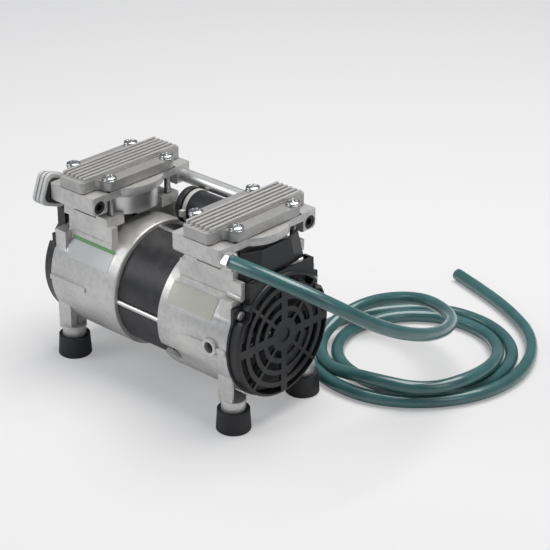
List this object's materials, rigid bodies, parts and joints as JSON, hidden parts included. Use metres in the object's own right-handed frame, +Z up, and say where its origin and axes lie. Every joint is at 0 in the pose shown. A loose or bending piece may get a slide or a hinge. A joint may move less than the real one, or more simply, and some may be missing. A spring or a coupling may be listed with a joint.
{
  "type": "twin-cylinder oil-free vacuum pump",
  "caption": "Mains-motor vacuum pump: opposed rocking pistons in round end housings, finned heads, fan guards, rubber feet, run capacitor, silencer and a coiled hose.",
  "frame": {"origin": "centre of the four feet, on the surface they stand on", "axes": "+Z up, +X along the motor shaft towards the end with the hose, +Y to the left of that, towards the transfer tube"},
  "size_m": [0.3652, 0.3925, 0.1874],
  "materials": {
    "cast_aluminium": "pale die-cast, fine grain",
    "anodised_aluminium": "turned, hard-anodised bore",
    "black_steel": "laminated, black varnish",
    "rotor_steel": "ground laminations",
    "ground_steel": "ground",
    "spring_steel": "polished strip",
    "zinc_steel": "bright zinc",
    "enamelled_copper": "enamelled, varnished",
    "nickel_brass": "nickel-plated",
    "bright_tube": "drawn, satin",
    "black_plastic": "moulded, satin",
    "grey_plastic": "moulded, satin",
    "pale_plastic": "moulded, satin",
    "gasket_rubber": "flat sheet",
    "black_rubber": "moulded, matt",
    "seal_ptfe": "filled PTFE, formed",
    "hose_rubber": "smooth, blue-green"
  },
  "bodies": {
    "pump_body": {"front_housing": "cast_aluminium", "rear_housing": "cast_aluminium", "cable_bushes": "cast_aluminium", "stator_core": "black_steel", "stator_windings": "enamelled_copper", "tie_rods": "zinc_steel", "bearing_outer_rings": "ground_steel", "front_cylinder": "anodised_aluminium", "rear_cylinder": "anodised_aluminium", "front_valve_plate": "cast_aluminium", "rear_valve_plate": "cast_aluminium", "front_head_block": "cast_aluminium", "rear_head_block": "cast_aluminium", "front_head_gasket": "gasket_rubber", "rear_head_gasket": "gasket_rubber", "front_head_cover": "cast_aluminium", "rear_head_cover": "cast_aluminium", "front_head_screws": "zinc_steel", "rear_head_screws": "zinc_steel", "front_reed_clamps": "zinc_steel", "rear_reed_clamps": "zinc_steel", "transfer_tube": "bright_tube", "port_plugs": "black_plastic", "hose_fitting": "nickel_brass", "silencer_body": "black_plastic", "silencer_plates": "grey_plastic", "front_fan_guard": "black_plastic", "rear_fan_guard": "black_plastic", "front_air_hood": "black_plastic", "rear_air_hood": "black_plastic", "guard_screws": "zinc_steel", "capacitor": "black_plastic", "capacitor_cap": "black_plastic", "capacitor_saddle": "black_plastic", "capacitor_strap": "pale_plastic", "rubber_feet": "black_rubber", "foot_studs": "zinc_steel", "hose": "hose_rubber"},
    "rotor": {"drive_shaft": "ground_steel", "rotor_core": "rotor_steel", "bearing_inner_rings": "ground_steel", "front_eccentric": "cast_aluminium", "rear_eccentric": "cast_aluminium", "front_fan": "black_plastic", "rear_fan": "black_plastic"},
    "front_rod": {"front_connecting_rod": "cast_aluminium", "front_rod_bearing": "ground_steel", "front_cup_seal": "seal_ptfe", "front_piston_cap": "cast_aluminium"},
    "rear_rod": {"rear_connecting_rod": "cast_aluminium", "rear_rod_bearing": "ground_steel", "rear_cup_seal": "seal_ptfe", "rear_piston_cap": "cast_aluminium"},
    "front_intake_valve": {"front_intake_reed": "spring_steel"},
    "front_exhaust_valve": {"front_exhaust_reed": "spring_steel"},
    "rear_intake_valve": {"rear_intake_reed": "spring_steel"},
    "rear_exhaust_valve": {"rear_exhaust_reed": "spring_steel"}
  },
  "joints": [
    {"name": "rotor_spin", "type": "hinge", "parent": "pump_body", "child": "rotor", "pos_m": [-0.003, 0, 0.08], "axis": [1, 0, 0], "continuous": true},
    {"name": "front_crank_pin", "type": "hinge", "parent": "rotor", "child": "front_rod", "pos_m": [0.0736, 0, 0.084], "axis": [1, 0, 0], "continuous": true, "deforming": ["front_cup_seal"]},
    {"name": "rear_crank_pin", "type": "hinge", "parent": "rotor", "child": "rear_rod", "pos_m": [-0.0796, 0, 0.076], "axis": [1, 0, 0], "continuous": true, "deforming": ["rear_cup_seal"]},
    {"name": "front_intake_flap", "type": "hinge", "parent": "pump_body", "child": "front_intake_valve", "pos_m": [0.0616, -0.015, 0.1625], "axis": [0, 1, 0], "range_deg": [0, 3], "stiffness_Nm_per_rad": 0.01, "springref_deg": -5.73},
    {"name": "front_exhaust_flap", "type": "hinge", "parent": "pump_body", "child": "front_exhaust_valve", "pos_m": [0.0616, 0.015, 0.167], "axis": [0, -1, 0], "range_deg": [0, 4], "stiffness_Nm_per_rad": 0.01, "springref_deg": -5.73},
    {"name": "rear_intake_flap", "type": "hinge", "parent": "pump_body", "child": "rear_intake_valve", "pos_m": [-0.0676, 0.015, 0.1625], "axis": [0, -1, 0], "range_deg": [0, 3], "stiffness_Nm_per_rad": 0.01, "springref_deg": -5.73},
    {"name": "rear_exhaust_flap", "type": "hinge", "parent": "pump_body", "child": "rear_exhaust_valve", "pos_m": [-0.0676, -0.015, 0.167], "axis": [0, 1, 0], "range_deg": [0, 4], "stiffness_Nm_per_rad": 0.01, "springref_deg": -5.73}
  ],
  "couplings": [
    {"joint": "front_crank_pin", "follows": "rotor_spin", "ratio": -1},
    {"joint": "rear_crank_pin", "follows": "rotor_spin", "ratio": -1}
  ]
}
